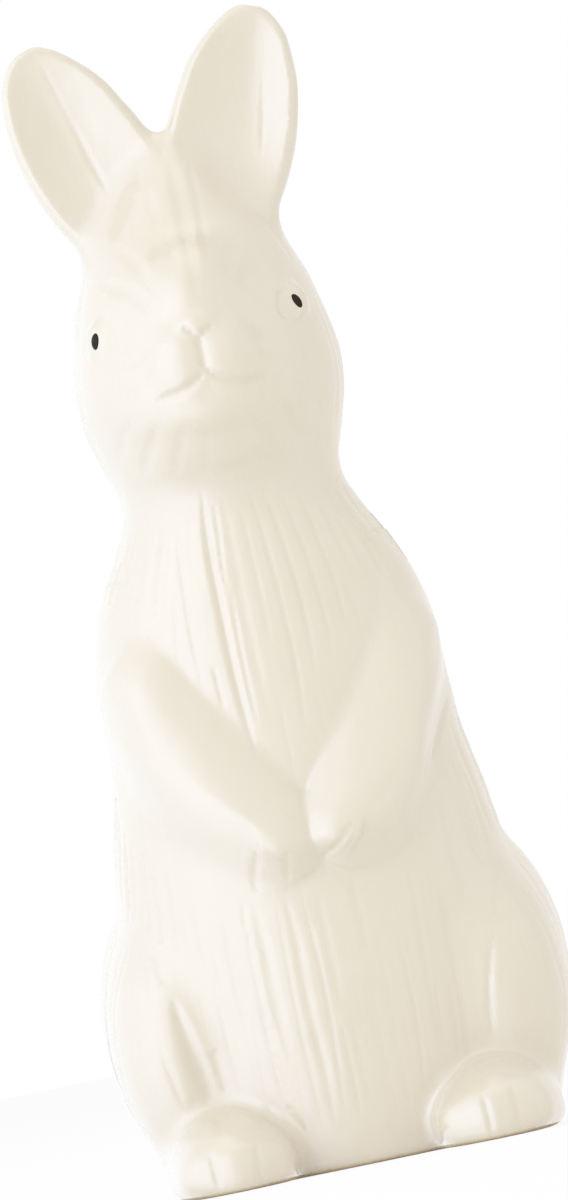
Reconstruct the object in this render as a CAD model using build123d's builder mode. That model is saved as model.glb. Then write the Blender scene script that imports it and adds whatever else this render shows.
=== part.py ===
from build123d import *
import math
import os

# A glazed ceramic rabbit that sits up on its haunches, facing -Y, with its base on Z = 0.
# The rabbit's left is +X. Every length is in millimetres.

# Trunk: a hollow cast shell from the base to the neck joint
trunk_height = 147.0
trunk_width = 86.0
trunk_depth = 78.0
wall = 4.5

# Neck joint, shared by the trunk and the head
neck_width = 48.4
neck_depth = 46.0
collar_height = 5.0
collar_wall = 2.6
neck_clearance = 0.3

# Base plate, set into the open foot of the trunk
base_plate_thickness = 4.0
foot_rim = 3.0
seat_ledge = 2.0
plate_clearance = 0.3
vent_diameter = 8.0

# Head, a hollow cast shell from the neck joint to the crown
head_height = 66.0
head_width = 57.8
head_depth = 62.0
muzzle_width = 36.0
muzzle_height = 32.0
muzzle_depth = 30.0
muzzle_proud = 4.0
muzzle_rise = 27.0

# Ears, pressed solid
ear_length = 55.0
ear_width = 28.6
ear_thickness = 12.0
ear_seat_spread = 15.6
ear_seat_drop = 15.7
ear_seat_back = -0.5
ear_gap = 0.3
ear_lean = 17.0
ear_rake = 5.0
ear_rim = 2.0
ear_hollow_depth = 5.0

# Eyes, dabs of dark colour in pressed sockets
eye_width = 3.6
eye_height = 4.6
eye_thickness = 1.4
eye_edge = 0.4
eye_proud = 0.3
eye_rise = 38.4
eye_turn = 55.0
turn_step = 1.0
eye_clearance = 0.1

# Forelegs, laid on the belly from the shoulders to the paws
foreleg_width = 30.0
foreleg_thickness = 17.0
foreleg_sink = 1.0
shoulder_spread = 60.0
shoulder_drop = 23.0
paw_spread = 17.0
paw_rise = 61.5

# Haunches, the thighs on either side of the base
haunch_width = 38.0
haunch_depth = 68.0
haunch_height = 66.0
haunch_proud = 8.0
haunch_rise = 37.0
haunch_back = 4.0

# Hind feet, flat on the ground in front of the haunches
foot_length = 58.0
foot_width = 28.0
foot_height = 19.0
foot_sole_rise = 3.0
foot_spread = 57.0
foot_proud = 17.0

# Tail at the foot of the back
tail_diameter = 23.0
tail_rise = 19.0
tail_sink = 2.6

overrun = 1.0
half_turn = 180.0

# Height, half width, half depth and set-back of the trunk's cross-sections, as shares of
# trunk_height, trunk_width, trunk_depth and trunk_depth, from the base to below the neck
trunk_section_shares = (
    (0.000, 0.420, 0.428, 0.032),
    (0.035, 0.446, 0.452, 0.032),
    (0.100, 0.471, 0.480, 0.030),
    (0.200, 0.491, 0.500, 0.022),
    (0.300, 0.500, 0.503, 0.010),
    (0.400, 0.499, 0.490, 0.002),
    (0.500, 0.479, 0.464, 0.000),
    (0.600, 0.445, 0.434, 0.000),
    (0.680, 0.430, 0.410, 0.000),
    (0.760, 0.423, 0.384, 0.000),
    (0.840, 0.396, 0.352, -0.003),
    (0.900, 0.360, 0.325, -0.006),
    (0.950, 0.317, 0.300, -0.006),
)

# The same for the head, as shares of head_height, head_width, head_depth and head_depth,
# from above the neck to the crown
head_section_shares = (
    (0.070, 0.426, 0.395, -0.008),
    (0.150, 0.453, 0.440, -0.020),
    (0.240, 0.484, 0.476, -0.024),
    (0.340, 0.500, 0.498, -0.031),
    (0.430, 0.498, 0.502, -0.031),
    (0.520, 0.481, 0.488, -0.025),
    (0.610, 0.453, 0.458, -0.018),
    (0.700, 0.420, 0.411, -0.008),
    (0.790, 0.379, 0.347, 0.000),
    (0.865, 0.327, 0.273, 0.010),
    (0.930, 0.251, 0.194, 0.016),
    (0.975, 0.164, 0.129, 0.022),
    (1.000, 0.070, 0.069, 0.020),
)

# Distance along the ear from its root, half width and half thickness, as shares of
# ear_length, ear_width and ear_thickness
ear_section_shares = (
    (0.00, 0.34, 0.50),
    (0.17, 0.42, 0.50),
    (0.34, 0.48, 0.48),
    (0.48, 0.50, 0.45),
    (0.60, 0.475, 0.41),
    (0.72, 0.42, 0.36),
    (0.83, 0.335, 0.30),
    (0.92, 0.23, 0.23),
    (0.98, 0.115, 0.13),
    (1.00, 0.03, 0.04),
)

# Stretch of the ear, from its root, that the front hollow takes up
ear_hollow_shares = (0.20, 0.975)

# How far round the trunk's side a foreleg's axis may turn, as the sine of the angle
deepest_turn_share = 0.90

# Spread and rise of a foreleg's sections, from the paw at 0 to the shoulder at 1, then their
# half width and half thickness, as shares of foreleg_width and foreleg_thickness
foreleg_section_shares = (
    (1.00, 1.00, 0.09, 0.10),
    (1.01, 0.97, 0.23, 0.26),
    (1.04, 0.90, 0.34, 0.38),
    (1.05, 0.80, 0.42, 0.46),
    (0.99, 0.68, 0.48, 0.50),
    (0.80, 0.55, 0.49, 0.50),
    (0.53, 0.42, 0.45, 0.48),
    (0.29, 0.29, 0.365, 0.44),
    (0.11, 0.175, 0.275, 0.40),
    (0.02, 0.08, 0.215, 0.33),
    (0.00, 0.025, 0.15, 0.21),
    (0.00, 0.00, 0.06, 0.08),
)


def between(profile, height):
    """Half width, half depth and set-back of a profile at a height."""
    for low, high in zip(profile, profile[1:]):
        if height <= high[0]:
            break
    share = (height - low[0]) / (high[0] - low[0])
    return [a + (b - a) * share for a, b in zip(low[1:], high[1:])]


def upright_sections(profile, inset, seam):
    """Level ellipses at a profile's heights, drawn in by inset, each starting on its seam side."""
    sections = []
    for height, half_width, half_depth, back in profile:
        plane = Plane((0, back, height), x_dir=seam, z_dir=(0, 0, 1))
        with BuildSketch(plane) as section:
            Ellipse(half_depth - inset, half_width - inset)
        sections.append(section.sketch)
    return sections


def limb_sections(stations):
    """Ellipses square to a limb, each given by its plane and its half sizes along x and y."""
    sections = []
    for plane, half_x, half_y in stations:
        with BuildSketch(plane) as section:
            Ellipse(half_x, half_y)
        sections.append(section.sketch)
    return sections


def scaled_profile(shares, bottom, height, width, depth):
    """A profile in real lengths from a table of shares."""
    return [(bottom + h * height, w * width, d * depth, b * depth) for h, w, d, b in shares]


neck_section = (trunk_height, neck_width / 2, neck_depth / 2, 0.0)
trunk_profile = scaled_profile(
    trunk_section_shares, 0, trunk_height, trunk_width, trunk_depth
) + [neck_section]
head_profile = [neck_section] + scaled_profile(
    head_section_shares, trunk_height, head_height, head_width, head_depth
)

foot_half_width, foot_half_depth, foot_back = trunk_profile[0][1:]
plate_seat = between(trunk_profile, base_plate_thickness)
cavity_profile = [
    (base_plate_thickness, plate_seat[0] - seat_ledge, plate_seat[1] - seat_ledge, plate_seat[2])
]
for section in trunk_profile:
    if base_plate_thickness + seat_ledge < section[0] < trunk_height - wall:
        cavity_profile.append(section)
cavity_profile.append((trunk_height - wall, *between(trunk_profile, trunk_height - wall)))

belly_side = (0, -1, 0)
nape_side = (0, 1, 0)
pieces = []


def keep(piece, name):
    """Label a finished piece and set it aside for export."""
    piece.part.label = name
    pieces.append(piece.part)


def keep_pair(piece, name):
    """Keep a piece of the rabbit's left side and its mirror image on the right."""
    with BuildPart() as twin:
        mirror(piece.part, about=Plane.YZ)
    keep(piece, f"{name}_left")
    keep(twin, f"{name}_right")


# The outer forms of trunk and head, solid, that the pieces laid on them are cut to fit
with BuildPart() as trunk_skin:
    loft(upright_sections(trunk_profile, 0, belly_side))

with BuildPart() as head_skin:
    loft(upright_sections(head_profile, 0, nape_side))

# Trunk: shell, neck collar, ledge under the collar and an open foot
with BuildPart() as trunk:
    add(trunk_skin.part)
    with BuildSketch(Plane.XY.offset(trunk_height)):
        Ellipse(
            neck_width / 2 - wall - neck_clearance,
            neck_depth / 2 - wall - neck_clearance,
        )
    extrude(amount=collar_height)
    loft(upright_sections(cavity_profile, wall, belly_side), mode=Mode.SUBTRACT)
    with BuildSketch(Plane.XY.offset(trunk_height - wall - overrun)):
        Ellipse(
            neck_width / 2 - wall - neck_clearance - collar_wall,
            neck_depth / 2 - wall - neck_clearance - collar_wall,
        )
    extrude(amount=wall + collar_height + 2 * overrun, mode=Mode.SUBTRACT)
    with BuildSketch(Plane.XY):
        with Locations((0, foot_back)):
            Ellipse(foot_half_width - foot_rim, foot_half_depth - foot_rim)
    extrude(amount=base_plate_thickness, mode=Mode.SUBTRACT)
keep(trunk, "trunk")

# Base plate: an unglazed disc with the hole that vents the hollow in the kiln
with BuildPart() as base_plate:
    with BuildSketch(Plane.XY):
        with Locations((0, foot_back)):
            Ellipse(
                foot_half_width - foot_rim - plate_clearance,
                foot_half_depth - foot_rim - plate_clearance,
            )
            Circle(vent_diameter / 2, mode=Mode.SUBTRACT)
    extrude(amount=base_plate_thickness)
keep(base_plate, "base_plate")


def skin_point(profile, height, turn):
    """Point on a profile's surface at a height, turned from the front towards +X."""
    half_width, half_depth, back = between(profile, height)
    x = half_width * math.sin(math.radians(turn))
    y = back - half_depth * math.cos(math.radians(turn))
    return Vector(x, y, height)


def eye_plane(depth):
    """Plane at a depth in the left eye, level with the head's skin there, facing outwards."""
    height = trunk_height + eye_rise
    middle = skin_point(head_profile, height, eye_turn)
    level = skin_point(head_profile, height, eye_turn + turn_step) - middle
    upward = skin_point(head_profile, height + eye_height / 2, eye_turn) - middle
    return Plane(origin=middle, x_dir=level, z_dir=level.cross(upward)).offset(-depth)


def ball_solid(centre, half_x, half_y, half_z):
    """An egg-shaped solid with its three half sizes, standing at its centre."""
    with BuildPart() as ball:
        Sphere(1)
        scale(by=(half_x, half_y, half_z))
    return ball.part.moved(Location(centre))


# Head: shell with the muzzle raised on its face and a pressed socket for each eye
head_cavity = [section for section in head_profile if section[2] > 2 * wall]
face = skin_point(head_profile, trunk_height + muzzle_rise, 0)
muzzle_centre = face + Vector(0, muzzle_depth / 2 - muzzle_proud, 0)

with BuildPart() as eye_socket:
    with BuildSketch(eye_plane(eye_thickness - eye_proud)):
        Ellipse(eye_width / 2 + eye_clearance, eye_height / 2 + eye_clearance)
    extrude(amount=eye_thickness + overrun)

with BuildPart() as head:
    add(head_skin.part)
    add(ball_solid(muzzle_centre, muzzle_width / 2, muzzle_depth / 2, muzzle_height / 2))
    loft(upright_sections(head_cavity, wall, nape_side), mode=Mode.SUBTRACT)
    add(eye_socket.part, mode=Mode.SUBTRACT)
    mirror(eye_socket.part, about=Plane.YZ, mode=Mode.SUBTRACT)
keep(head, "head")

# Eyes: flat-backed dabs that fill the sockets, their front edge rounded
with BuildPart() as eye:
    with BuildSketch(eye_plane(eye_thickness - eye_proud)):
        Ellipse(eye_width / 2, eye_height / 2)
    extrude(amount=eye_thickness)
    fillet(eye.edges().sort_by(Axis((0, 0, 0), eye_plane(0).z_dir))[-1], eye_edge)
keep_pair(eye, "eye")

# Ears: leaf-shaped blades, hollowed in front inside a thin rim, seated in the crown
ear_seat_rise = trunk_height + head_height - ear_seat_drop
ear_root = Vector(ear_seat_spread / 2, ear_seat_back, ear_seat_rise)
ear_across = Vector(math.cos(math.radians(ear_lean)), 0, -math.sin(math.radians(ear_lean)))
ear_along = Vector(
    math.sin(math.radians(ear_lean)),
    math.tan(math.radians(ear_rake)),
    math.cos(math.radians(ear_lean)),
).normalized()
blade = []
hollow = []
for distance_share, width_share, thickness_share in ear_section_shares:
    half_width = width_share * ear_width
    half_thickness = thickness_share * ear_thickness
    middle = ear_root + ear_along * distance_share * ear_length
    forward = ear_across.cross(ear_along)
    blade.append((Plane(middle, x_dir=ear_across, z_dir=ear_along), half_width, half_thickness))
    if ear_hollow_shares[0] <= distance_share <= ear_hollow_shares[1]:
        front = Plane(middle + forward * half_thickness, x_dir=forward, z_dir=ear_along)
        hollow.append((front, ear_hollow_depth * width_share * 2, half_width - ear_rim))

with BuildPart() as ear:
    loft(limb_sections(blade))
    loft(limb_sections(hollow), mode=Mode.SUBTRACT)
    add(head_skin.part, mode=Mode.SUBTRACT)
    split(bisect_by=Plane.YZ.offset(ear_gap / 2))
keep_pair(ear, "ear")

# Forelegs: tapered limbs that lie on the belly, cut to the trunk where they are luted on
shoulder_rise = trunk_height - shoulder_drop
path = []
for spread_share, rise_share, width_share, thickness_share in foreleg_section_shares:
    spread = paw_spread + (shoulder_spread - paw_spread) * spread_share
    rise = paw_rise + (shoulder_rise - paw_rise) * rise_share
    half_width, half_depth, back = between(trunk_profile, rise)
    turn = math.asin(min(spread / 2 / half_width, deepest_turn_share))
    outward = Vector(math.sin(turn) / half_width, -math.cos(turn) / half_depth, 0).normalized()
    skin = Vector(spread / 2, back - half_depth * math.cos(turn), rise)
    path.append((skin - outward * foreleg_sink, outward, width_share, thickness_share))
stations = []
for index, (point, outward, width_share, thickness_share) in enumerate(path):
    along = path[min(index + 1, len(path) - 1)][0] - path[max(index - 1, 0)][0]
    inward = along.cross(along.cross(outward))
    plane = Plane(point, x_dir=inward, z_dir=along)
    stations.append((plane, thickness_share * foreleg_thickness, width_share * foreleg_width))

with BuildPart() as foreleg:
    loft(limb_sections(stations))
    add(trunk_skin.part, mode=Mode.SUBTRACT)
keep_pair(foreleg, "foreleg")

# Haunches and hind feet: rounded lumps luted to the sides and front of the base
haunch_spread = trunk_width - haunch_width + 2 * haunch_proud
with BuildPart() as haunch:
    add(
        ball_solid(
            (haunch_spread / 2, haunch_back, haunch_rise),
            haunch_width / 2,
            haunch_depth / 2,
            haunch_height / 2,
        )
    )
    add(trunk_skin.part, mode=Mode.SUBTRACT)
keep_pair(haunch, "haunch")

toe_front = skin_point(trunk_profile, foot_sole_rise, 0).Y - foot_proud

with BuildPart() as hind_foot:
    add(
        ball_solid(
            (foot_spread / 2, toe_front + foot_length / 2, foot_sole_rise),
            foot_width / 2,
            foot_length / 2,
            foot_height - foot_sole_rise,
        )
    )
    split(bisect_by=Plane.XY)
    add(trunk_skin.part, mode=Mode.SUBTRACT)
    add(haunch.part, mode=Mode.SUBTRACT)
keep_pair(hind_foot, "hind_foot")

# Tail: a round tuft at the foot of the back
rump = skin_point(trunk_profile, tail_rise, half_turn)
with BuildPart() as tail:
    with Locations((0, rump.Y - tail_sink, tail_rise)):
        Sphere(tail_diameter / 2)
    add(trunk_skin.part, mode=Mode.SUBTRACT)
keep(tail, "tail")

for piece in pieces:
    print(piece.label, len(piece.solids()), round(piece.volume), piece.bounding_box())

os.makedirs("parts", exist_ok=True)
for piece in pieces:
    export_step(piece, f"parts/{piece.label}.step")
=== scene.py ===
import math

import bpy
import numpy as np
from mathutils import Matrix, Vector


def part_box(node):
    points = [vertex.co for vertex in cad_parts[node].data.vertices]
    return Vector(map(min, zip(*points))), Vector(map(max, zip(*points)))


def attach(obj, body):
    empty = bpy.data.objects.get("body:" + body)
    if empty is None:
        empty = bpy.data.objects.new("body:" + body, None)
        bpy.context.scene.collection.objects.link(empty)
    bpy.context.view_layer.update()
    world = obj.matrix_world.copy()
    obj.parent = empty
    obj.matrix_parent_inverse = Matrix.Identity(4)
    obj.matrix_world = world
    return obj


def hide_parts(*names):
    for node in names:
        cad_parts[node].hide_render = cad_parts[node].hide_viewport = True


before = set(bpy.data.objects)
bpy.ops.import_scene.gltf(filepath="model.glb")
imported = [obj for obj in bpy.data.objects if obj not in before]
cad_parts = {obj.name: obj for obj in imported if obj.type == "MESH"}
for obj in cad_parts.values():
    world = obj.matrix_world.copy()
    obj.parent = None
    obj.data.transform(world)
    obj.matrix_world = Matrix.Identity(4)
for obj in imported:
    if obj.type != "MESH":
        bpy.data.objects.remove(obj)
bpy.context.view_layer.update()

# Trunk: the hollow body of the rabbit, slip-cast in a two-part mould from the base to the
# neck. Its form is a stack of ovals, fuller in the belly and rump and drawn in at the neck.
# The forms are worked in millimetres, and MM puts the finished meshes into metres.
MM = 0.001
# Each row: height, half width, reach to the front, reach to the back
TRUNK_ROWS = (
    (-6, 33, 29, 33),
    (0, 36.5, 31.5, 36),
    (5, 38.6, 33.6, 38.4),
    (15, 40.6, 36, 40.2),
    (30, 42.2, 37.6, 40.6),
    (45, 42.8, 38.2, 40),
    (60, 42.6, 37.8, 38),
    (75, 40.6, 36.2, 36),
    (90, 37.8, 33.6, 34),
    (103, 37.2, 31.6, 32),
    (114, 36.7, 30, 30),
    (124, 34.3, 28.2, 27.8),
    (133, 30.6, 26.4, 25.2),
    (141, 26.2, 24.6, 23.2),
    (147, 24.2, 23.4, 22),
)


class Profile:
    """A table run smoothly from row to row; its first column is the distance along."""

    def __init__(self, rows):
        table = np.array(rows, float)
        self.knots, self.values = table[:, 0], table[:, 1:].T
        self.slopes = np.gradient(self.values, self.knots, axis=1)

    def __call__(self, distance):
        """The columns at each distance, and how fast each one grows there."""
        place = np.clip(np.searchsorted(self.knots, distance) - 1, 0, len(self.knots) - 2)
        span = self.knots[place + 1] - self.knots[place]
        t = np.clip((distance - self.knots[place]) / span, 0.0, 1.0)
        first, last = self.values[:, place], self.values[:, place + 1]
        leave, arrive = self.slopes[:, place] * span, self.slopes[:, place + 1] * span
        columns = (
            first * (1 + 2 * t) * (1 - t) ** 2
            + leave * t * (1 - t) ** 2
            + last * t * t * (3 - 2 * t)
            + arrive * t * t * (t - 1)
        )
        rates = (
            6 * t * (1 - t) * (last - first)
            + leave * (1 - t) * (1 - 3 * t)
            + arrive * t * (3 * t - 2)
        ) / span
        return columns, rates


# Head: cast in the same mould as the trunk, whose stack of ovals goes on from the neck over
# the cheeks to the crown. The muzzle, nose, chin and the swelling round each eye were built
# up on it in soft clay before the mould was taken.
# Each row: height, half width, reach to the front, reach to the back
HEAD_ROWS = (
    (151, 24.3, 24.7, 22.6),
    (154.5, 25.3, 26.4, 23.7),
    (160, 27, 28.2, 25.8),
    (166, 28.5, 30.2, 27.8),
    (172, 29, 31.2, 28.9),
    (178, 28.4, 31, 29),
    (184, 27.1, 29.9, 28.2),
    (190, 25.6, 27.6, 26.6),
    (196, 23.4, 24.2, 24.2),
    (202, 20.6, 19.8, 20.8),
    (208, 16.4, 14.6, 16.4),
    (213, 11, 9.4, 11.2),
    (217, 5.8, 5, 6.2),
    (220.5, 1.4, 1.4, 1.6),
)
CORE = Profile(TRUNK_ROWS + HEAD_ROWS)
# How far the widest line of the body lies behind the middle, as a share of back less front
WIDEST_SHARE = 0.12


def core(at):
    """Distance to the trunk and head, which share one run of ovals; below zero inside."""
    x, y, z = at.T
    (half_width, front, back), (wider, fronter, backer) = CORE(z)
    middle = WIDEST_SHARE * (back - front)
    ahead = y < middle
    half_depth = np.where(ahead, front + middle, back - middle)
    deeper = np.where(ahead, fronter, backer)
    px, py = x / half_width, (y - middle) / half_depth
    near = np.hypot(px, py) + 1e-9
    slope = np.hypot(px / half_width, py / half_depth) + 1e-9
    level = near * (near - 1) / slope
    lean = (px * px * wider + py * py * deeper) / near**2
    above = np.maximum(z - CORE.knots[-1], 0.0)
    return level / np.sqrt(1 + lean * lean) + above


def oval(at, centre, half):
    """Distance to an egg-shaped lump."""
    away = at - centre
    near = np.sqrt(((away / half) ** 2).sum(1)) + 1e-9
    slope = np.sqrt(((away / np.square(half)) ** 2).sum(1)) + 1e-9
    return near * (near - 1) / slope


def blend(first, second, soft):
    """Two forms luted together, with a fillet about soft wide where they meet."""
    overlap = np.maximum(soft - np.abs(first - second), 0.0) / soft
    return np.minimum(first, second) - overlap * overlap * soft / 4


def built_up(form, at, lumps):
    """A form with egg-shaped lumps luted on to it, one after another."""
    for centre, half, soft in lumps:
        form = blend(form, oval(at, centre, half), soft)
    return form


# Each row: centre, half sizes, width of the blend
FACE_LUMPS = (
    ((0, -20.6, 170), (16, 13.4, 13), 10),
    ((0, -21.8, 186.4), (8.8, 10.4, 13), 9),
    ((0, -30, 166.3), (8, 4.4, 3.8), 4),
    ((0, -0.8, 208.5), (8.4, 10, 11.6), 8),
)
# Each: centre, half sizes
MUZZLE_PUFF = ((4.7, -31.2, 175.9), (5.3, 4.6, 6.8))
NOSE_LUMP = ((0.0, -32.2, 183.7), (3.7, 3.0, 2.5))
EYE_SWELLING = ((20.0, -16.0, 184.3), (4.2, 3.4, 4.7))
# Widths of their blends: puff to puff, muzzle to face, nose and eyes
PUFF_SOFT, MUZZLE_SOFT, NOSE_SOFT, EYE_SOFT = 0.8, 4.5, 2.6, 1.6
# The face is built up forward of this line, between these heights
FACE_BACK, FACE_LOW, FACE_TOP = 14.0, 140.0, 232.0


def head_form(at):
    """The core with the face built up on it."""
    form = core(at)
    face = np.nonzero((at[:, 1] < FACE_BACK) & (at[:, 2] > FACE_LOW) & (at[:, 2] < FACE_TOP))[0]
    spot = at[face]
    part = built_up(form[face], spot, FACE_LUMPS)
    other_side = spot * (-1, 1, 1)
    puffs = blend(oval(spot, *MUZZLE_PUFF), oval(other_side, *MUZZLE_PUFF), PUFF_SOFT)
    part = blend(part, puffs, MUZZLE_SOFT)
    part = blend(part, oval(spot, *NOSE_LUMP), NOSE_SOFT)
    sides = np.abs(spot * (1, 0, 0)) + spot * (0, 1, 1)
    form[face] = blend(part, oval(sides, *EYE_SWELLING), EYE_SOFT)
    return form


# Ears: pressed solid and luted to the crown, where their clay runs down into the forehead.
# Each is dished in front inside a thin rim, steeply on its outer side, and folds where the
# dish is deepest. They lean outwards and a little back.
EAR_ROOT = (8.2, 0.4, 199.9)
EAR_LEAN = math.radians(17.0)
EAR_RAKE = math.tan(math.radians(2.0))
# Each row: distance up the ear, outer edge, inner edge, reach to the front, reach to the
# back, depth of the dish
EAR = Profile(
    (
        (-10, 7, -9, 9, 8, 0),
        (-3, 8.8, -10.8, 8.6, 7.8, 0.1),
        (3, 10.2, -12, 8, 7.3, 0.6),
        (9, 11.6, -13.2, 7.2, 6.9, 1.5),
        (14, 13, -13.8, 6.6, 6.6, 2.5),
        (20, 14, -14.1, 6, 6.2, 3.6),
        (27, 14.4, -13.6, 5.4, 5.7, 4.3),
        (33, 14, -12.4, 5, 5.1, 4.4),
        (39, 12.9, -10.8, 4.7, 4.6, 4),
        (44, 11.2, -8.4, 4.4, 4.2, 3.2),
        (47.6, 9.4, -6, 4.1, 3.9, 2.2),
        (49.8, 7.6, -4.2, 3.7, 3.6, 1.3),
        (51.2, 6, -2.6, 3.3, 3.3, 0.5),
        (52.2, 4.4, -1.2, 2.9, 2.9, 0),
    )
)
# Where across the ear its fold lies, and how far out its rim begins
EAR_FOLD_SHARE, EAR_RIM_SHARE = 0.12, 0.86
# How abruptly the dish rises to the rim, on the outer side and on the inner
EAR_STEEP, EAR_GENTLE = 1.8, 1.9
# How much of the thickness is flat, how much is bowed, and the least bow at the edge
EAR_FLAT_SHARE, EAR_BOW_SHARE, EAR_LEAST_BOW = 0.45, 0.55, 0.02
EAR_LEAST_HALF = 0.4
# Rounding between front and back, along the outline, and at the tip
EAR_RIM_SOFT, EAR_EDGE_SOFT, EAR_TIP_SOFT = 1.6, 2.6, 1.0
EAR_BLEND = 5.5


def ear_form(at):
    """Distance to the left ear."""
    away = at - EAR_ROOT
    up = math.sin(EAR_LEAN) * away[:, 0] + math.cos(EAR_LEAN) * away[:, 2]
    across = math.cos(EAR_LEAN) * away[:, 0] - math.sin(EAR_LEAN) * away[:, 2]
    (outer, inner, front, back, dish), _ = EAR(up)
    middle, half = (outer + inner) / 2, np.maximum((outer - inner) / 2, EAR_LEAST_HALF)
    share = (across - middle) / half
    from_fold = share - EAR_FOLD_SHARE
    steep = np.clip(from_fold / (EAR_RIM_SHARE - EAR_FOLD_SHARE), 0, 1)
    gentle = np.clip(-from_fold / (EAR_RIM_SHARE + EAR_FOLD_SHARE), 0, 1)
    hollow = dish * (1 - steep**EAR_STEEP - gentle**EAR_GENTLE)
    bow = np.sqrt(np.maximum(1 - share * share, 0.0) + EAR_LEAST_BOW)
    depth = away[:, 1] - EAR_RAKE * np.maximum(up, 0.0)
    ahead = -front * (EAR_FLAT_SHARE + EAR_BOW_SHARE * bow) + hollow - depth
    behind = depth - back * bow
    edge = (np.abs(share) - 1) * half
    form = -blend(-ahead, -behind, EAR_RIM_SOFT)
    form = -blend(-form, -edge, EAR_EDGE_SOFT)
    return -blend(-form, -(up - EAR.knots[-1]), EAR_TIP_SOFT)


# What is luted to the cast body: name, form with the width of its blend, the box that its clay
# can reach, and its side
LUTED = []
SIDES = {"left": 1.0, "right": -1.0}


def lute(name, form, low, high, side=1.0):
    """Add a piece to the figure; one on the right is worked as its left twin."""
    LUTED.append((name, form, np.array(low), np.array(high), np.array((side, 1.0, 1.0))))


for name, side in SIDES.items():
    lute(f"ear_{name}", lambda at: (ear_form(at), EAR_BLEND), (-7, -18, 185), (42, 22, 262), side)

# Forelegs: rolls of clay laid on the belly from the shoulders to the paws. The upper side of
# each is a flat flank cut clean against the chest, and its lower side is smoothed away into
# the belly. The two differ a little, so each has its own edges.
# Each row: turn from the front in degrees, height, width of the slope in from the edge, and
# how far that slope is soft or plump rather than flat
FORELEG_EDGES = {
    "foreleg_left": (
        (
            (68, 127.5, 20, 1, 0),
            (52, 119.5, 13, 0.3, 0),
            (39.4, 111.5, 11, 0, 0),
            (30, 103, 11.5, 0, 0),
            (17, 92.5, 12, 0, 0),
            (5.4, 82.5, 10, 0, 0.3),
            (0.8, 76, 8, 0, 0.7),
            (0, 70.6, 6, 0, 0.9),
            (3.4, 65.6, 6, 0, 0.7),
        ),
        (
            (3.4, 65.6, 6, 0, 0.8),
            (9.1, 63.2, 10, 0.4, 0.5),
            (14.6, 62.2, 12, 0.5, 0.4),
            (21.6, 63, 12, 0.6, 0.3),
            (30.7, 65.8, 10.5, 0.5, 0.3),
            (40.5, 72.6, 10, 0.6, 0.1),
            (51.2, 80.6, 11, 0.6, 0.1),
            (64, 88.6, 12, 0.7, 0),
            (84, 97.5, 13, 0.9, 0),
            (96, 107, 14, 1, 0),
            (94, 117, 14, 1, 0),
            (82, 123.5, 14, 1, 0),
            (68, 127.5, 14, 1, 0),
        ),
    ),
    "foreleg_right": (
        (
            (-66, 130, 26, 1, 0),
            (-43.7, 123, 15, 0.6, 0),
            (-32.9, 114.8, 11, 0, 0),
            (-23, 104.7, 11.5, 0, 0),
            (-11.7, 94.6, 12, 0, 0),
            (-0.9, 84.5, 11, 0, 0.1),
            (4.4, 78, 9.5, 0, 0.3),
            (6, 71, 8, 0, 0.5),
            (3.6, 64.8, 7, 0, 0.8),
        ),
        (
            (3.6, 64.8, 7, 0, 0.8),
            (-4.9, 62, 11, 0.6, 0.35),
            (-11.5, 61.2, 13, 0.8, 0.2),
            (-19.3, 62.2, 15, 0.9, 0.1),
            (-28, 64.8, 16.5, 1, 0),
            (-40, 69.6, 18.5, 1, 0),
            (-56, 76.6, 20, 1, 0),
            (-74, 85.4, 20, 1, 0),
            (-88, 94, 17, 1, 0),
            (-97, 106, 16, 1, 0),
            (-95, 118, 16, 1, 0),
            (-82, 126, 16, 1, 0),
            (-66, 128, 16, 1, 0),
        ),
    ),
}
# Height of a foreleg over the belly, at the side of the body and at its greatest, how the one
# passes into the other, and the turn from the front that it is at its greatest up to
SIDE_RISE, FRONT_RISE, RISE_POWER = 0.4, 6.9, 1.5
FULL_TURN = math.radians(40.0)
# How a flat slope rounds over at its top, and how the soft and the plump ones run on outwards
FLAT_POWER, SOFT_SKIRT, PLUMP_SKIRT = 1.35, 0.2, 2.0
FORELEG_BLEND = 1.0
EDGE_STATIONS = 48
# Millimetres of skin for each radian round the body, the part of the skin that the forelegs
# may cover, and the pitch of its map
UNROLL = 35.0
RELIEF_LOW, RELIEF_TOP, RELIEF_PITCH = np.array((-66.0, 54.0)), np.array((66.0, 134.0)), 0.4
FAR = 99.0


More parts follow.
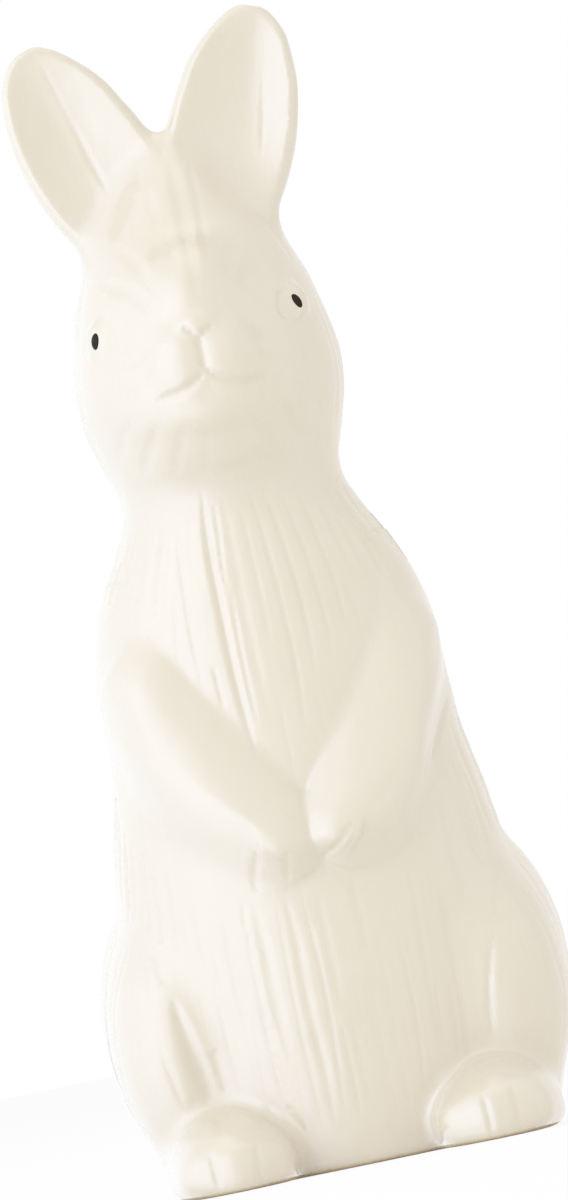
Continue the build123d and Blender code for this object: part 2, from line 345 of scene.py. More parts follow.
class Relief:
    """A limb raised on the front of the core, as a map of its height over the unrolled skin."""

    def __init__(self, upper, lower):
        axes = [np.arange(*ends, RELIEF_PITCH) for ends in zip(RELIEF_LOW, RELIEF_TOP)]
        spot = np.stack(np.meshgrid(*axes, indexing="ij"), -1)
        hand = np.sign(upper[0][0])
        first, second = (self.slope_in(edge, spot, hand) for edge in (upper, lower))
        share = np.where(np.minimum(first, second) < 0, np.minimum(first, second), first * second)
        facing_front = np.clip(np.cos(spot[..., 0] / UNROLL) / math.cos(FULL_TURN), 0, 1)
        self.height = share * (SIDE_RISE + (FRONT_RISE - SIDE_RISE) * facing_front**RISE_POWER)
        rates = np.gradient(self.height, RELIEF_PITCH)
        self.ease = 1 / np.sqrt(1 + rates[0] ** 2 + rates[1] ** 2)

    @staticmethod
    def slope_in(edge, spot, hand):
        """Share of the full height that the slope in from an edge has reached at places."""
        rows = np.array(edge, float)
        line = rows[:, :2] * (math.radians(1) * UNROLL, 1)
        reach = np.cumsum(np.linalg.norm(np.diff(line, axis=0), axis=1))
        reach = np.concatenate([[0], reach])
        table = Profile(np.column_stack([reach, line, rows[:, 2:]]))
        stations = table(np.linspace(0, reach[-1], EDGE_STATIONS))[0].T
        nearest = np.full(spot.shape[:2], FAR)
        inward, wide, soft, plump = np.zeros((4, *spot.shape[:2]))
        for start, end in zip(stations, stations[1:]):
            run = end[:2] - start[:2]
            t = np.clip((spot - start[:2]) @ run / (run @ run), 0, 1)
            away = spot - start[:2] - t[..., None] * run
            gap = np.hypot(away[..., 0], away[..., 1])
            closer = gap < nearest - 1e-9
            turned = (run[0] * away[..., 1] - run[1] * away[..., 0]) * hand
            nearest = np.where(closer, gap, nearest)
            inward = np.where(closer, np.where(turned > 0, gap, -gap), inward)
            here = start[2:] + t[..., None] * (end - start)[2:]
            wide, soft, plump = (
                np.where(closer, here[..., i], old) for i, old in enumerate((wide, soft, plump))
            )
        t = np.clip(inward / wide, 0, 1)
        outward = np.minimum(inward / wide, 0)
        flat = 1 - (1 - t) ** FLAT_POWER + FLAT_POWER * outward
        smoothed = t * t * (3 - 2 * t) + SOFT_SKIRT * outward
        round_off = np.sqrt(1 - (1 - t) ** 2) + PLUMP_SKIRT * outward
        return flat * (1 - soft - plump) + smoothed * soft + round_off * plump

    def __call__(self, at):
        """Distance to the limb at points near the front of the core."""
        (half_width, front, _), _ = CORE(at[:, 2])
        turn = np.arctan2(at[:, 0] / half_width, -at[:, 1] / front)
        spot = np.stack([UNROLL * turn, at[:, 2]], 1)
        place = (spot - RELIEF_LOW) / RELIEF_PITCH
        place = np.clip(place, 0, np.array(self.height.shape) - 1.001)
        i, j = place.astype(int).T
        s, t = (place - np.floor(place)).T
        height, ease = (
            (m[i, j] * (1 - t) + m[i, j + 1] * t) * (1 - s)
            + (m[i + 1, j] * (1 - t) + m[i + 1, j + 1] * t) * s
            for m in (self.height, self.ease)
        )
        return (core(at) - height) * ease


for name, edges in FORELEG_EDGES.items():
    limb = Relief(*edges)
    lute(name, lambda at, limb=limb: (limb(at), FORELEG_BLEND), (-46, -48, 56), (46, 12, 133))

# Haunches: the thighs, rounded lumps luted to either side of the base, which they widen to
# the broadest part of the figure.
# Centre and half sizes
THIGH = ((31.6, 6.0, 36.5), (19.3, 31.5, 32.5))
# The knee and the hock. Each row: centre, half sizes, width of the blend
HAUNCH_LUMPS = (
    ((36.0, -14.5, 30.0), (11.5, 15.0, 24.0), 9.0),
    ((29.0, 4.0, 8.0), (13.4, 27.0, 20.0), 7.0),
)
# The crease above the haunch is sharp at the side. It softens forward of this line, over so
# far and by so much.
HAUNCH_CREASE, HAUNCH_FADE = -6.0, 12.0
HAUNCH_BLEND, HAUNCH_SOFTER = 2.2, 4.0


def haunch_form(at):
    """Distance to the left haunch with its knee and hock, and its blend."""
    form = built_up(oval(at, *THIGH), at, HAUNCH_LUMPS)
    ahead = np.clip((HAUNCH_CREASE - at[:, 1]) / HAUNCH_FADE, 0, 1)
    return form, HAUNCH_BLEND + HAUNCH_SOFTER * ahead


for name, side in SIDES.items():
    lute(f"haunch_{name}", haunch_form, (4, -40, -6), (60, 46, 78), side)


# Hind feet: long flat-soled feet that stand out from under the belly, with three toes each.
# Centre and half sizes
FOOT = ((28.0, -22.0, 3.0), (13.5, 25.6, 15.6))
# Its fuller outer side: centre, half sizes, width of the blend
FOOT_LUMPS = (((33.2, -20.0, 2.0), (9.2, 23.6, 14.4), 5.0),)
# Each row: place across, front of the toe, height of its axis, radius
FOOT_TOES = (
    (20.6, -39.6, 5.0, 4.0),
    (28.0, -41.4, 5.4, 4.2),
    (35.6, -39.6, 5.0, 4.0),
)
# How far back the toes run, how much they climb on the way, and their blends with the foot
TOE_BACK, TOE_CLIMB, TOE_BLEND = -24.0, 2.0, 6.0
FOOT_BLEND = 3.6


def rod(at, start, end, radius):
    """Distance to a roll of clay."""
    run = np.subtract(end, start)
    t = np.clip((at - start) @ run / (run @ run), 0.0, 1.0)
    gap = np.sqrt(((at - start - t[:, None] * run) ** 2).sum(1))
    return gap - radius


def foot_form(at):
    """Distance to the left hind foot, and its blend."""
    form = built_up(oval(at, *FOOT), at, FOOT_LUMPS)
    for across, front, height, radius in FOOT_TOES:
        tip, heel = (across, front, height), (across, TOE_BACK, height + TOE_CLIMB)
        form = blend(form, rod(at, tip, heel, radius), TOE_BLEND)
    return form, FOOT_BLEND


for name, side in SIDES.items():
    lute(f"hind_foot_{name}", foot_form, (5, -58, -9), (52, 20, 28), side)


# Tail: a ball of clay luted to the foot of the back and combed with the coat. The photograph
# doesn't show it, so its size is guessed.
TAIL_CENTRE, TAIL_HALF, TAIL_BLEND = (0.0, 37.4, 19.0), (11.3, 11.3, 11.3), 2.4


def tail_form(at):
    """Distance to the tail, and its blend."""
    return oval(at, TAIL_CENTRE, TAIL_HALF), TAIL_BLEND


lute("tail", tail_form, (-20, 20, -2), (20, 60, 40))

# Casting: the pieces are luted to the cast body while the clay is soft. The whole figure is
# then combed, glazed and fired as one, so its skin is worked as one net of small faces, which
# is parted at the luted joints later on.
PIECES = ["trunk", "head"] + [piece[0] for piece in LUTED]
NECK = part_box("head")[0][2] / MM
# Rounding of the edge on the ground: at its least, what the outside of the hind feet adds, from
# where across it is added, and over how far
GROUND_EDGE = (2.4, 1.8, 33.0, 5.0)


def luted_near(at):
    """For each luted piece that lies near some points: its row, those points, its form."""
    for row, (_, piece, low, high, flip) in enumerate(LUTED, 2):
        spot = at * flip
        near = np.nonzero(np.all((spot > low) & (spot < high), axis=1))[0]
        if len(near):
            yield row, near, *piece(spot[near])


def figure(at):
    """Distance to the whole figure before the fur is cut; its base is flat."""
    least, more, start, over = GROUND_EDGE
    corner = least + more * np.clip((np.abs(at[:, 0]) - start) / over, 0, 1)
    form = head_form(at)
    for _, near, distance, soft in luted_near(at):
        form[near] = blend(form[near], distance, soft)
    return -blend(-form, at[:, 2], corner)


def each_piece(at):
    """Distance to every piece by itself, one row for each."""
    own = np.full((len(PIECES), len(at)), FAR)
    body = head_form(at)
    own[0] = body + np.maximum(at[:, 2] - NECK, 0.0)
    own[1] = body + np.maximum(NECK - at[:, 2], 0.0)
    for row, near, distance, _ in luted_near(at):
        own[row, near] = np.maximum(distance, -body[near])
    return own


COARSE = 1.0
# Stretches of the net along each axis: start, end, size of its faces there
X_MARKS = ((-53.0, -27.0, 0.72), (-27.0, 27.0, 0.5), (27.0, 53.0, 0.72))
Y_MARKS = ((-51.0, -22.0, 0.6), (-22.0, 51.0, 0.75))
Z_MARKS = ((-2.0, 150.0, 0.7), (150.0, 204.0, 0.5), (204.0, 252.0, 0.6))
# How many points are worked at once, how many grid lines a rough block spans, and how near to
# the skin such a block has to be, as a share of its size, to be worked finely
BATCH, BLOCK, NEAR_SHARE = 300_000, 5, 0.75
# A form's slope is measured over this step; steadying keeps flat places from leaping
SLOPE_STEP, STEADYING = 0.02, 1e-4


def marks(stretches):
    """Grid lines along one axis, finer where the work is finer."""
    lines = [
        np.linspace(start, end, round((end - start) / (pitch * COARSE)), endpoint=False)
        for start, end, pitch in stretches
    ]
    return np.concatenate(lines + [[stretches[-1][1]]])


def in_batches(form, at):
    """A form's distances, worked in batches to spare memory."""
    return np.concatenate([form(at[i : i + BATCH]) for i in range(0, len(at), BATCH)])


def cast_skin(form, axes):
    """A net of four-sided faces over a form's surface, as points and faces."""
    counts = np.array([len(a) for a in axes])
    starts = [np.arange(0, n, BLOCK) for n in counts]
    ends = [np.minimum(s + BLOCK - 1, n - 1) for s, n in zip(starts, counts)]
    centres = [(a[s] + a[e]) / 2 for a, s, e in zip(axes, starts, ends)]
    rough = form(np.stack(np.meshgrid(*centres, indexing="ij"), -1).reshape(-1, 3))
    rough = rough.reshape([len(c) for c in centres])
    reach = NEAR_SHARE * math.sqrt(sum(((a[1:] - a[:-1]).max() * BLOCK) ** 2 for a in axes))
    full = rough.repeat(BLOCK, 0).repeat(BLOCK, 1).repeat(BLOCK, 2)
    full = full[: counts[0], : counts[1], : counts[2]].copy()
    place = np.nonzero(np.abs(full) < reach)
    full[place] = in_batches(form, np.stack([a[p] for a, p in zip(axes, place)], 1))
    inside = full < 0
    cells = counts - 1
    corners = [(i, j, k) for i in (0, 1) for j in (0, 1) for k in (0, 1)]
    held = np.zeros(cells, np.int8)
    for i, j, k in corners:
        held += inside[i : i + cells[0], j : j + cells[1], k : k + cells[2]]
    spots = np.nonzero((held > 0) & (held < 8))
    base = np.stack(spots, 1)
    total = np.zeros((len(base), 3))
    crossings = np.zeros(len(base))
    for axis in range(3):
        for corner in corners:
            if corner[axis]:
                continue
            one = base + corner
            other = one + np.eye(3, dtype=int)[axis]
            a, b = full[tuple(one.T)], full[tuple(other.T)]
            cut = (a < 0) != (b < 0)
            t = np.where(cut, a / np.where(cut, a - b, 1.0), 0.0)
            spot = np.stack([axes[i][one[:, i]] for i in range(3)], 1)
            spot[:, axis] += t * (axes[axis][other[:, axis]] - axes[axis][one[:, axis]])
            total += spot * cut[:, None]
            crossings += cut
    points = total / crossings[:, None]
    index = np.full(cells, -1)
    index[spots] = np.arange(len(base))
    faces = []
    for axis in range(3):
        u, v = (axis + 1) % 3, (axis + 2) % 3
        here = [slice(1, cells[i]) for i in range(3)]
        here[axis] = slice(0, cells[axis])
        after = list(here)
        after[axis] = slice(1, cells[axis] + 1)
        a, b = inside[tuple(here)], inside[tuple(after)]
        change = np.nonzero(a != b)
        first = [change[i] + (0 if i == axis else 1) for i in range(3)]
        quad = []
        for du, dv in ((1, 1), (0, 1), (0, 0), (1, 0)):
            spot = [s.copy() for s in first]
            spot[u] -= du
            spot[v] -= dv
            quad.append(index[tuple(spot)])
        quad = np.stack(quad, 1)
        quad[~a[change]] = quad[~a[change]][:, ::-1]
        faces.append(quad)
    return points, np.concatenate(faces)


def settle(form, points, rounds, farthest=0.6):
    """Points moved on to a form's surface."""
    steps = np.eye(3) * SLOPE_STEP
    for _ in range(rounds):
        here = in_batches(form, points)
        slopes = [(in_batches(form, points + one) - here) / SLOPE_STEP for one in steps]
        slope = np.stack(slopes, 1)
        move = here[:, None] * slope / ((slope**2).sum(1)[:, None] + STEADYING)
        size = np.linalg.norm(move, axis=1, keepdims=True)
        points = points - move * np.minimum(1.0, farthest / (size + 1e-9))
    return points


def evened(points, faces):
    """Each point moved half way to the middle of its neighbours."""
    pairs = np.concatenate([faces[:, [i, (i + 1) % 4]] for i in range(4)])
    count = np.bincount(pairs[:, 0], minlength=len(points))
    middle = np.stack(
        [np.bincount(pairs[:, 0], points[pairs[:, 1], i], len(points)) for i in range(3)], 1
    )
    return (points + middle / count[:, None]) / 2


points, faces = cast_skin(figure, [marks(m) for m in (X_MARKS, Y_MARKS, Z_MARKS)])
points = settle(figure, points, 1)
points = settle(figure, evened(points, faces), 1)
points = settle(figure, evened(points, faces), 2)
owner = each_piece(points[faces].mean(1)).argmin(0)


# Fur: strokes cut into the leather-hard clay with a wire tool, and combed round the coat.
# Each row: half width or one for either end, depth, then the stroke's points, across and
# in height
FRONT_STROKES = (
    # philtrum, mouth and the under edge of the nose
    (1.6, 0.36, ((-0.4, 182), (-0.4, 177), (-0.4, 172.6))),
    (1.8, 0.6, ((-0.4, 173.6), (-3, 171.5), (-6.6, 169.9), (-12.6, 169.3))),
    (1.8, 0.52, ((-0.4, 173.6), (2.4, 171.6), (5.8, 170), (12.4, 169.3))),
    (1.2, 0.4, ((-3.8, 184.2), (-2, 182.6), (-0.4, 181.4))),
    (1.2, 0.4, ((-0.4, 181.4), (1.6, 182), (3.8, 182.8))),
    # outer edges of the two lip pads
    (2.2, 0.2, ((-8, 181.2), (-8.8, 177.4), (-8.6, 173.8))),
    (2, 0.14, ((7.4, 180.2), (8, 177), (7.8, 173.8))),
    # brows
    (2.4, 0.26, ((-20, 197), (-15.8, 195.2), (-11.8, 192), (-9.4, 187.4))),
    (2.4, 0.18, ((-14, 204), (-10.2, 198.6), (-7.6, 192))),
    (2.6, 0.16, ((19, 197), (15.4, 194.8), (12.2, 191.6), (10.4, 188.6))),
    (2.6, 0.14, ((12.6, 201), (9.8, 197.2), (8.4, 192))),
    # between the ears, down to the bridge of the nose
    (2.3, 0.34, ((1.3, 225), (1.3, 212), (1.3, 200), (1.2, 192), (1, 187.6))),
    (1.6, 0.14, ((-5, 220), (-4.4, 208), (-3.4, 194))),
    (1.5, 0.16, ((5.2, 220), (5.4, 208), (4.8, 196))),
    # cheeks
    (2, 0.22, ((-11, 181), (-14.4, 178.6), (-18.6, 178.4))),
    (2, 0.22, ((-11.6, 175.6), (-15.4, 172.6), (-20.4, 171.4))),
    (2, 0.18, ((11, 180.6), (14.4, 178.4), (18.6, 178.2))),
    (2, 0.2, ((11.6, 175.6), (15.4, 172.8), (20, 171.6))),
    # tufts of the chin
    (2.4, 0.24, ((-12.7, 164.6), (-15.6, 159.2), (-18.6, 153.4))),
    (2.2, 0.2, ((-7.2, 163.2), (-9.2, 158), (-11.4, 152.4))),
    (2, 0.16, ((-17.4, 167.2), (-20.6, 163), (-23, 157.6))),
    (2.2, 0.1, ((-2.6, 163.6), (-3.4, 157.6), (-4.2, 151.2))),
    (2.2, 0.1, ((3, 163.6), (3.8, 157.6), (4.6, 151.2))),
    (2.2, 0.18, ((8.2, 163), (10.2, 157.6), (11.8, 152.4))),
    (2.2, 0.2, ((13.4, 164.6), (16.4, 159.6), (18.8, 154))),
    (2, 0.16, ((18.4, 167.2), (21.4, 162.2), (23, 157.6))),
    # chest
    (1.5, 0.66, ((-6.2, 150), (-7.2, 140), (-7.6, 124), (-7.4, 106), (-6.4, 90))),
    (1.8, 0.14, ((-2.2, 149), (-2.4, 136), (-2.5, 116), (-1.8, 96))),
    (1.1, 0.26, ((3.4, 149), (4.6, 138), (5.6, 122), (5.8, 104), (4.8, 92))),
    (1.2, 0.3, ((6.6, 148), (8.4, 136), (9.8, 122), (9.8, 104))),
    (1, 0.22, ((9.8, 147), (12.2, 135), (13.9, 121), (14.2, 107))),
    (1.1, 0.26, ((13.6, 146), (16, 134), (17.8, 122), (18.2, 113))),
    (1.1, 0.2, ((17, 145), (20, 133), (22, 122))),
    (1.1, 0.24, ((-12.8, 146), (-14.2, 132), (-14.8, 118), (-14.6, 106))),
    # belly
    (2, 0.28, ((-13.4, 60), (-13, 50), (-13, 38), (-12.4, 25))),
    (1.7, 0.24, ((-6.4, 61), (-6, 50), (-6.2, 36), (-5.6, 22), (-5.8, 9))),
    (1.6, 0.25, ((-20.6, 60), (-20.6, 46), (-20.2, 32))),
    (1.6, 0.18, ((-27, 64), (-27.4, 54), (-27.2, 46))),
    (1.5, 0.16, ((0.4, 60), (0.6, 48), (0.6, 34))),
    (1.5, 0.2, ((8.2, 62), (8.4, 53), (8.2, 44))),
    # knees, with the flat fan pressed in above the right foot
    ((1.6, 4), 0.85, ((-34.6, 43.6), (-33.6, 36), (-32.2, 28), (-30.6, 19.6))),
    (1.3, 0.3, ((-39.6, 34), (-38.2, 27), (-37, 19.6))),
    (1.7, 0.3, ((40.4, 58.6), (38, 51), (35.8, 44.6))),
    (1.2, 0.45, ((36, 45), (33.2, 36), (31.6, 28), (30.8, 21))),
    # under edge of the left foreleg
    (1.2, 0.4, ((37, 96), (33.2, 88), (30, 80.6))),
    # between the toes of the forefeet
    (1.5, 0.4, ((-10.4, 70.6), (-11.8, 66.4), (-12.4, 61.6))),
    (1.3, 0.26, ((-4, 69.6), (-4.8, 66), (-5.2, 62))),
    (1.4, 0.5, ((2.8, 66.4), (6.8, 68.4), (11, 72.6))),
    (1.3, 0.22, ((16.2, 70), (17.2, 67), (17.4, 63.8))),
    # folds of the ears
    (1.3, 0.25, ((-21.8, 246), (-18.4, 233.8), (-15, 222), (-12.5, 214))),
    (0.9, 0.25, ((25, 238), (22.7, 224.5), (20.6, 216.6))),
    # lids
    (
        0.7,
        0.28,
        ((20.8, 188.1), (18.9, 187.2), (17.9, 184.8), (18.2, 182.2), (19.8, 180.5)),
    ),
    (0.7, 0.28, ((19.8, 180.5), (21.8, 180.5), (23.2, 182.2), (23.6, 184.8), (22.6, 187.2))),
    (0.7, 0.1, ((-20.8, 188.1), (-18.9, 187.2), (-17.9, 184.8), (-18.2, 182.2), (-19.8, 180.5))),
    # between the toes of the hind feet
    (1.1, 0.42, ((-33.4, 9.8), (-33, 5.6), (-33, 0.6))),
    (1.3, 0.3, ((-23.2, 9.8), (-23.4, 5.6), (-23.4, 0.6))),
    (1.2, 0.42, ((26.2, 10.4), (26.6, 6), (26.6, 0.6))),
    (1.3, 0.34, ((32.4, 10.8), (32.8, 6), (32.8, 0.6))),
)
STROKE_STEP = 1.2
# A stroke thins out towards both ends, over its length divided by this
STROKE_TAPER = 3.2
STROKE_THIN_SHARE = 0.4
# How near a combed stroke may come to the ones above
STROKE_ROOM = 1.9
COMB_SEED = 11
# Least and greatest: start above the low end, length, and gap before the next stroke
COMB_START, COMB_LENGTH, COMB_GAP = (0, 10), (22, 60), (4, 14)
# Degrees that a stroke sways by, least and greatest bends of the sway, degrees that it strays
COMB_SWAY, COMB_BENDS, COMB_STRAY = 1.5, (2, 4), 1.6
# Pitch of a combed stroke's points, and the fewest that are left of one
COMB_STEP, COMB_FEWEST = 2.5, 5
# Each row: piece, from what height, to what height, turns from the front in degrees, least
# and greatest half width, least and greatest depth
COMBED = (
    ("trunk", 64.0, 149.0, np.arange(-36.0, 37.0, 3.7), (0.75, 1.2), (0.07, 0.26)),
    ("trunk", 4.0, 62.0, np.arange(-35.0, 36.0, 3.9), (0.8, 1.4), (0.05, 0.18)),
    ("trunk", 6.0, 150.0, np.arange(38.0, 322.0, 5.6), (1.2, 2.0), (0.14, 0.34)),
    ("head", 152.0, 206.0, np.arange(70.0, 291.0, 7.5), (1.2, 2.0), (0.1, 0.26)),
    ("haunch_left", 8.0, 60.0, np.arange(48.0, 142.0, 5.4), (1.0, 1.7), (0.06, 0.2)),
    ("haunch_right", 8.0, 60.0, np.arange(-140.0, -46.0, 5.4), (1.0, 1.7), (0.06, 0.2)),
)
# The skin in front is sought from here to the middle, by halving the stretch so often
FRONT_REACH, HALVINGS = -60.0, 24
stroke_points, stroke_edges, stroke_widths, stroke_depths = [], [], [], []


def stroke_line(route):
    """A stroke's points spread evenly on a smooth curve through the given ones."""
    route = np.array(route, float)
    gaps = np.linalg.norm(np.diff(route, axis=0), axis=1)
    reach = np.concatenate([[0], np.cumsum(gaps)])
    even = np.linspace(0, reach[-1], max(4, int(reach[-1] / STROKE_STEP) + 1))
    if len(route) == 2:
        return np.stack([np.interp(even, reach, column) for column in route.T], 1)
    return Profile(np.column_stack([reach, route]))(even)[0].T


def cut_stroke(line, half_width, depth):
    """Add one stroke, thinner and shallower at both ends; a pair of widths fans it out."""
    start = len(stroke_points)
    share = np.linspace(0, 1, len(line))
    half_width = np.interp(share, (0, 1), np.broadcast_to(half_width, 2))
    from_end = np.minimum(share, 1 - share) * STROKE_TAPER
    taper = np.sin(np.clip(from_end, 0.0, 1.0) * math.pi / 2)
    stroke_points.extend(line)
    stroke_widths.extend(half_width * (STROKE_THIN_SHARE + (1 - STROKE_THIN_SHARE) * taper))
    stroke_depths.extend(depth * taper)
    stroke_edges.extend((start + i, start + i + 1) for i in range(len(line) - 1))


def skin_from_front(form, x, z):
    """How far forward a form's skin lies at places across and heights."""
    near, far = np.full(len(x), FRONT_REACH), np.zeros(len(x))
    for _ in range(HALVINGS):
        half = (near + far) / 2
        outside = form(np.stack([x, half, z], 1)) > 0
        near, far = np.where(outside, half, near), np.where(outside, far, half)
    return (near + far) / 2


for half_width, depth, route in FRONT_STROKES:
    flat = stroke_line(route)
    y = skin_from_front(figure, flat[:, 0], flat[:, 1])
    cut_stroke(np.stack([flat[:, 0], y, flat[:, 1]], 1), half_width, depth)

named_strokes = np.array(stroke_points)
dice = np.random.default_rng(COMB_SEED)
for name, low, high, turns, widths, depths in COMBED:
    row = PIECES.index(name)
    for turn in turns:
        bottom = low + dice.uniform(*COMB_START)
        while bottom < high - COMB_START[1]:
            top = min(bottom + dice.uniform(*COMB_LENGTH), high)
            count = max(COMB_FEWEST, int((top - bottom) / COMB_STEP))
            height = np.linspace(top, bottom, count)
            sway = dice.uniform(-COMB_SWAY, COMB_SWAY)
            sway = sway * np.sin(np.linspace(0, dice.uniform(*COMB_BENDS), count))
            angle = np.radians(turn + dice.uniform(-COMB_STRAY, COMB_STRAY) + sway)
            (half_width, front, back), _ = CORE(height)
            reach = np.where(np.cos(angle) > 0, front, back)
            guess = np.stack([half_width * np.sin(angle), -reach * np.cos(angle), height], 1)
            line = settle(figure, guess, 8, 4.0)
            away = np.linalg.norm(line[:, None] - named_strokes, axis=2).min(1)
            kept = (each_piece(line).argmin(0) == row) & (away > STROKE_ROOM)
            width, depth = dice.uniform(*widths), dice.uniform(*depths)
            ends = np.nonzero(np.diff(np.concatenate([[0], kept, [0]]).astype(int)))[0]
            for first, last in ends.reshape(-1, 2):
                if last - first >= COMB_FEWEST:
                    cut_stroke(line[first:last], width, depth)
            bottom = top + dice.uniform(*COMB_GAP)


def plain_object(name, points, faces, edges=()):
    """A mesh object at the origin, from points in millimetres."""
    mesh = bpy.data.meshes.new(name)
    mesh.from_pydata((np.asarray(points) * MM).tolist(), edges, faces)
    mesh.polygons.foreach_set("use_smooth", np.ones(len(faces), bool))
    mesh.update()
    made = bpy.data.objects.new(name, mesh)
    bpy.context.scene.collection.objects.link(made)
    return made


def keep_at_points(made, name, values, kind="FLOAT", part="value"):
    """Store one value for each point of a mesh object under a name."""
    column = made.data.attributes.new(name, kind, "POINT")
    column.data.foreach_set(part, np.ravel(values).astype(np.float32))


class Wire:
    """A socket of a node tree, so that node maths reads as plain sums."""

    def __init__(self, tree, socket=None):
        self.tree = tree
        self.socket = socket

    def node(self, kind, settings=None, values=None, out=0):
        """The output of a new node; its settings are set first, then its inputs."""
        made = self.tree.nodes.new(kind)
        for name, value in (settings or {}).items():
            setattr(made, name, value)
        for name, value in (values or {}).items():
            if isinstance(value, Wire):
                self.tree.links.new(value.socket, made.inputs[name])
            else:
                made.inputs[name].default_value = value
        return Wire(self.tree, made.outputs[out])

    def feed(self, socket):
        """Link this to a socket of a node that is already there."""
        self.tree.links.new(self.socket, socket)

    def maths(self, operation, first, second=0.0, **settings):
        kinds = dict(operation=operation, **settings)
        return self.node("ShaderNodeMath", kinds, {0: first, 1: second})

    def __add__(self, other):
        return self.maths("ADD", self, other)

    def __sub__(self, other):
        return self.maths("SUBTRACT", self, other)

    def __mul__(self, other):
        return self.maths("MULTIPLY", self, other)

    def __truediv__(self, other):
        return self.maths("DIVIDE", self, other)

    def __pow__(self, other):
        return self.maths("POWER", self, other)

    def __rsub__(self, other):
        return self.maths("SUBTRACT", other, self)

    def __rtruediv__(self, other):
        return self.maths("DIVIDE", other, self)

    __radd__ = __add__
    __rmul__ = __mul__


def new_material(name, node="Principled BSDF"):
    """A new material, a wire to make its nodes with, and the inputs of a node it comes with."""
    made = bpy.data.materials.new(name)
    made.use_nodes = True
    return made, Wire(made.node_tree), made.node_tree.nodes[node].inputs


strokes = plain_object("strokes", stroke_points, [], stroke_edges)
for name, values in (("half_width", stroke_widths), ("depth", stroke_depths)):
    keep_at_points(strokes, name, np.array(values, np.float32) * MM)
skin = plain_object("skin", points, faces.tolist())

glaze, pot, glaze_inputs = new_material("ivory_glaze")
comb = bpy.data.node_groups.new("comb", "GeometryNodeTree")
comb.is_modifier = True
COMB_INPUTS = {
    "Strokes": ("NodeSocketObject", strokes),
    "Strength": ("NodeSocketFloat", 1.0),
    "Unevenness": ("NodeSocketFloat", 0.36 * MM),
    "Patch size": ("NodeSocketFloat", 9.0 * MM),
    "Flat under": ("NodeSocketFloat", 0.3 * MM),
}
comb.interface.new_socket("Skin", in_out="INPUT", socket_type="NodeSocketGeometry")
for name, (kind, _) in COMB_INPUTS.items():
    comb.interface.new_socket(name, in_out="INPUT", socket_type=kind)
comb.interface.new_socket("Skin", in_out="OUTPUT", socket_type="NodeSocketGeometry")
given = comb.nodes.new("NodeGroupInput")
asked = {socket.name: Wire(comb, socket) for socket in given.outputs}
bench = Wire(comb)
cuts = bench.node("GeometryNodeObjectInfo", {}, {"Object": asked["Strokes"]}, "Geometry")
gap = bench.node("GeometryNodeProximity", {"target_element": "EDGES"}, {0: cuts}, "Distance")
nearest = bench.node("GeometryNodeSampleNearest", {"domain": "POINT"}, {0: cuts})


def of_stroke(name):
    """A measure kept on the strokes, at the stroke nearest to the skin."""
    kept = bench.node("GeometryNodeInputNamedAttribute", {"data_type": "FLOAT"}, {"Name": name})
    values = {"Geometry": cuts, "Value": kept, "Index": nearest}
    return bench.node("GeometryNodeSampleIndex", {"data_type": "FLOAT"}, values)


share = bench.maths("MINIMUM", gap / of_stroke("half_width"), 1.0)
cut = (1 - share * share) ** 2.0 * of_stroke("depth") * asked["Strength"]
where = bench.node("GeometryNodeInputPosition")
patches = bench.node(
    "ShaderNodeTexNoise",
    {},
    {"Vector": where, "Scale": 1 / asked["Patch size"], "Detail": 1.0, "Roughness": 0.4},
)
rise = (patches - 0.5) * asked["Unevenness"] - cut
normal = bench.node("GeometryNodeInputNormal")
shift = bench.node("ShaderNodeVectorMath", {"operation": "SCALE"}, {0: normal, "Scale": rise})
level = bench.node("ShaderNodeSeparateXYZ", {}, {0: where}, "Z")
above = bench.node(
    "FunctionNodeCompare",
    {"data_type": "FLOAT", "operation": "GREATER_THAN"},
    {"A": level, "B": asked["Flat under"]},
)
moved = bench.node(
    "GeometryNodeSetPosition", {}, {"Geometry": asked["Skin"], "Selection": above, "Offset": shift}
)
stored = bench.node(
    "GeometryNodeStoreNamedAttribute",
    {"data_type": "FLOAT", "domain": "POINT"},
    {"Geometry": moved, "Name": "cut", "Value": cut / MM},
)
real = bench.node("GeometryNodeRealizeInstances", {}, {"Geometry": stored})
glazed = bench.node("GeometryNodeSetMaterial", {}, {"Geometry": real, "Material": glaze})
glazed.feed(comb.nodes.new("NodeGroupOutput").inputs["Skin"])

modifier = skin.modifiers.new("comb", "NODES")
modifier.node_group = comb
for socket in comb.interface.items_tree:
    if socket.in_out == "INPUT" and socket.name in COMB_INPUTS:
        modifier[socket.identifier] = COMB_INPUTS[socket.name][1]
bpy.context.view_layer.update()
combed = skin.evaluated_get(bpy.context.evaluated_depsgraph_get())
carved = bpy.data.meshes.new_from_object(combed)
skin.modifiers.clear()
count = len(carved.vertices)
points = np.empty(count * 3)
carved.vertices.foreach_get("co", points)
points = points.reshape(-1, 3) / MM
normals = np.empty(count * 3, np.float32)
carved.vertex_normals.foreach_get("vector", normals)
normals = normals.reshape(-1, 3)
cut_depth = np.empty(count, np.float32)
carved.attributes["cut"].data.foreach_get("value", cut_depth)
for thing in (skin, strokes):
    data = thing.data
    bpy.data.objects.remove(thing)
    bpy.data.meshes.remove(data)
bpy.data.meshes.remove(carved)

# Parting: the combed skin is cut at the luted joints into its pieces. The foot of the trunk
# is open, with a ledge where the base plate sits, and every other joint is closed inside.
PLATE_GAP = 0.3
PLATE_SEAT = 0.2
CAP_DEPTH = 1.2
HOLLOW_TOP = 40.0
